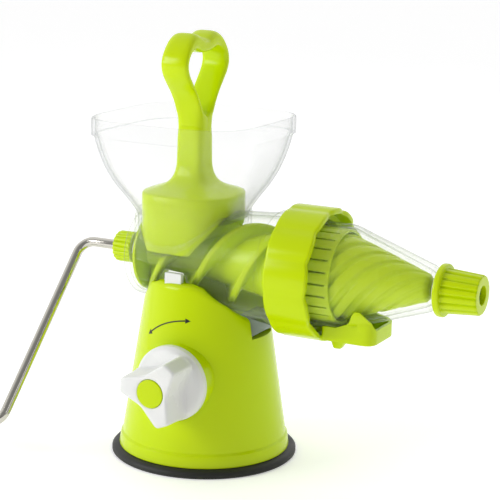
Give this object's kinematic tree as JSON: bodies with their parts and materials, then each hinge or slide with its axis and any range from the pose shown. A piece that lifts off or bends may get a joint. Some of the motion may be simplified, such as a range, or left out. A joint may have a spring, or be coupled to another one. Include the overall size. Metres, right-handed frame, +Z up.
{
  "type": "hand-cranked auger juicer",
  "caption": "Hand-cranked juicer on a suction base: clear barrel and cone round a green auger, square clear hopper with a loop-handled plunger, lobed knob.",
  "frame": {"origin": "on the table, at the middle of the round base, which is where its flat rest face is", "axes": "+X along the barrel towards the pulp outlet, -Y the side with the suction knob, +Z up"},
  "size_m": [0.4114, 0.1699, 0.2946],
  "materials": {
    "rubber_black": "moulded black rubber",
    "seal_silicone": "moulded silicone",
    "abs_green": "glossy injection-moulded lime-green ABS",
    "abs_white": "glossy injection-moulded white ABS",
    "steel_polished": "polished stainless rod",
    "steel_zinc": "zinc-plated steel",
    "clear_tint": "clear moulded styrene-acrylonitrile",
    "clear_hopper": "clear moulded styrene-acrylonitrile",
    "auger_green": "moulded green nylon"
  },
  "bodies": {
    "base": {"suction_pad": "rubber_black", "base_housing": "abs_green", "bottom_plate": "abs_white", "plate_screws": "steel_zinc", "shaft_bush": "abs_white", "barrel": "clear_tint", "rear_bush": "abs_white", "shaft_seal": "seal_silicone", "juice_screen": "auger_green"},
    "knob_body": {"knob": "abs_white", "knob_cap": "abs_green", "knob_screw": "steel_zinc", "cam_shaft": "abs_white"},
    "stem": {"lift_stem": "abs_white"},
    "latch": {"barrel_latch": "abs_white", "latch_spring": "steel_zinc"},
    "drive": {"auger_drive": "steel_polished", "auger": "auger_green", "crank_nut": "abs_green", "crank_rod": "steel_polished", "grip_cap": "abs_white"},
    "grip": {"handle_grip": "abs_white"},
    "front": {"outlet_cone": "clear_tint", "cone_gasket": "seal_silicone", "juice_spout": "abs_green"},
    "ring": {"ring_nut": "abs_green"},
    "seal": {"cap_seal": "seal_silicone"},
    "cap": {"outlet_cap": "abs_green"},
    "hopper_body": {"hopper": "clear_hopper"},
    "plunger_body": {"plunger": "abs_green"}
  },
  "joints": [
    {"name": "crank_spin", "type": "hinge", "parent": "base", "child": "drive", "pos_m": [-0.05, 0, 0.139], "axis": [1, 0, 0], "continuous": true},
    {"name": "grip_spin", "type": "hinge", "parent": "drive", "child": "grip", "pos_m": [-0.16349, -0.09337, 0.02573], "axis": [1, 0, 0], "continuous": true},
    {"name": "knob_turn", "type": "hinge", "parent": "base", "child": "knob_body", "pos_m": [0.004, -0.0521, 0.0633], "axis": [0, 1, 0], "range_deg": [0, 90]},
    {"name": "stem_lift", "type": "slide", "parent": "base", "child": "stem", "axis": [0, 0, 1], "range_m": [0, 0.0035]},
    {"name": "latch_press", "type": "slide", "parent": "base", "child": "latch", "axis": [0, 0, -1], "range_m": [0, 0.003], "stiffness_N_per_m": 300, "deforming": ["latch_spring"]},
    {"name": "hopper_lift", "type": "slide", "parent": "base", "child": "hopper_body", "axis": [0, 0, 1], "range_m": [0, 0.045]},
    {"name": "plunger_slide", "type": "slide", "parent": "hopper_body", "child": "plunger_body", "axis": [0, 0, 1], "range_m": [0, 0.105]},
    {"name": "ring_travel", "type": "slide", "parent": "base", "child": "front", "axis": [1, 0, 0], "range_m": [0, 0.006]},
    {"name": "ring_turn", "type": "hinge", "parent": "front", "child": "ring", "pos_m": [0.08, 0, 0.139], "axis": [1, 0, 0], "range_deg": [0, 540]},
    {"name": "cap_travel", "type": "slide", "parent": "front", "child": "seal", "axis": [1, 0, 0], "range_m": [0, 0.0025]},
    {"name": "cap_turn", "type": "hinge", "parent": "seal", "child": "cap", "pos_m": [0.18, 0, 0.139], "axis": [1, 0, 0], "range_deg": [0, 360]}
  ],
  "couplings": [
    {"joint": "stem_lift", "follows": "knob_turn", "m_per_rad": 0.002228},
    {"joint": "ring_travel", "follows": "ring_turn", "m_per_rad": 0.000636},
    {"joint": "cap_travel", "follows": "cap_turn", "m_per_rad": 0.000397}
  ]
}
